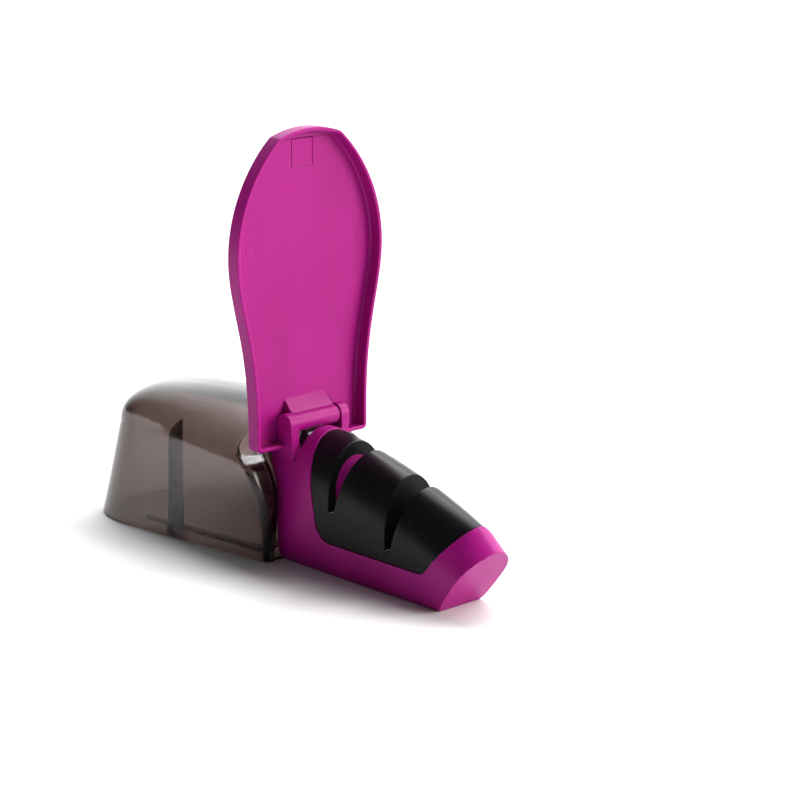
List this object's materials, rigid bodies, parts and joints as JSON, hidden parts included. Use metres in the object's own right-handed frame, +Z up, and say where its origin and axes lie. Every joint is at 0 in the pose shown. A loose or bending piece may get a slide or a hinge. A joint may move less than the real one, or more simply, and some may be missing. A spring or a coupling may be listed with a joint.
{
  "type": "hand-held knife sharpener",
  "caption": "Hand-held kitchen knife sharpener: hollow translucent handle, tapered head with coarse and fine V slots, and a tall hinged hand guard that closes over the slots.",
  "frame": {"origin": "middle of the footprint on the table", "axes": "+X from the handle to the nose, +Y across to the side that the picture hides, +Z up along the open guard"},
  "size_m": [0.216, 0.0734, 0.171],
  "materials": {
    "smoke_plastic": "satin translucent",
    "magenta_plastic": "satin gloss",
    "black_plastic": "satin",
    "carbide": "ground",
    "steel": "zinc plated",
    "ceramic": "fired ceramic",
    "rubber": "matt"
  },
  "bodies": {
    "base": {"handle_shell": "smoke_plastic", "body_shell": "magenta_plastic", "insert_rear": "black_plastic", "insert_middle": "black_plastic", "insert_front": "black_plastic", "sharpener_carrier": "magenta_plastic", "coarse_blade_near": "carbide", "coarse_blade_far": "carbide", "coarse_clamp": "steel", "coarse_screws": "steel", "fine_rod_near": "ceramic", "fine_rod_far": "ceramic", "fine_screws": "steel", "insert_screws": "steel", "base_cover": "black_plastic", "base_screws": "steel", "front_pad": "rubber", "rear_pad": "rubber", "handle_screws": "steel", "detent_spring": "steel", "hinge_pin": "steel"},
    "guard": {"lid": "magenta_plastic"}
  },
  "joints": [
    {"name": "lid_hinge", "type": "hinge", "parent": "base", "child": "guard", "pos_m": [0.0055, 0, 0.056], "axis": [0, 1, 0], "range_deg": [0, 103]}
  ]
}
